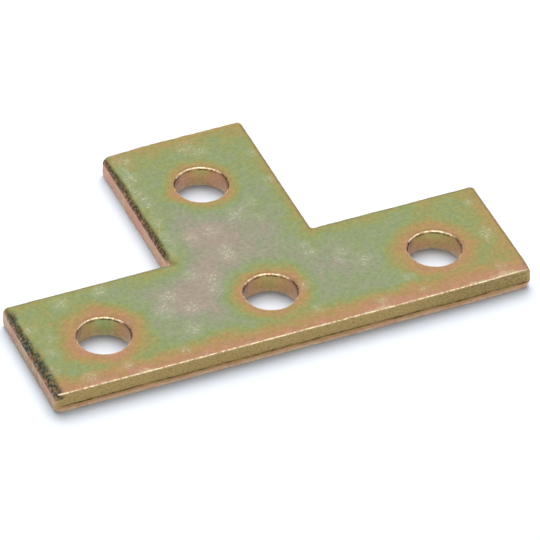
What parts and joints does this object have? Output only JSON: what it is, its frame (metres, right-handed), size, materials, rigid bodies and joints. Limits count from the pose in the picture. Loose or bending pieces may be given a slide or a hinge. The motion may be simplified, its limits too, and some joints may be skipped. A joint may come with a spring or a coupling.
{
  "type": "tee joining plate",
  "caption": "Flat steel tee plate that bolts across a joint in strut or extrusion framing, tying a post to a rail at a right angle.",
  "frame": {"origin": "on the axis of the junction hole, at the underside", "axes": "+X along the bar towards its right end, +Y up the stem, +Z out of the top face"},
  "size_m": [0.1364, 0.0863, 0.0063],
  "materials": {
    "plated_steel": "mild steel with a thin yellow chromate zinc plating, olive and gold with pink tints round the holes, lightly scuffed"
  },
  "bodies": {
    "root": {"joining_plate": "plated_steel"}
  },
  "joints": []
}
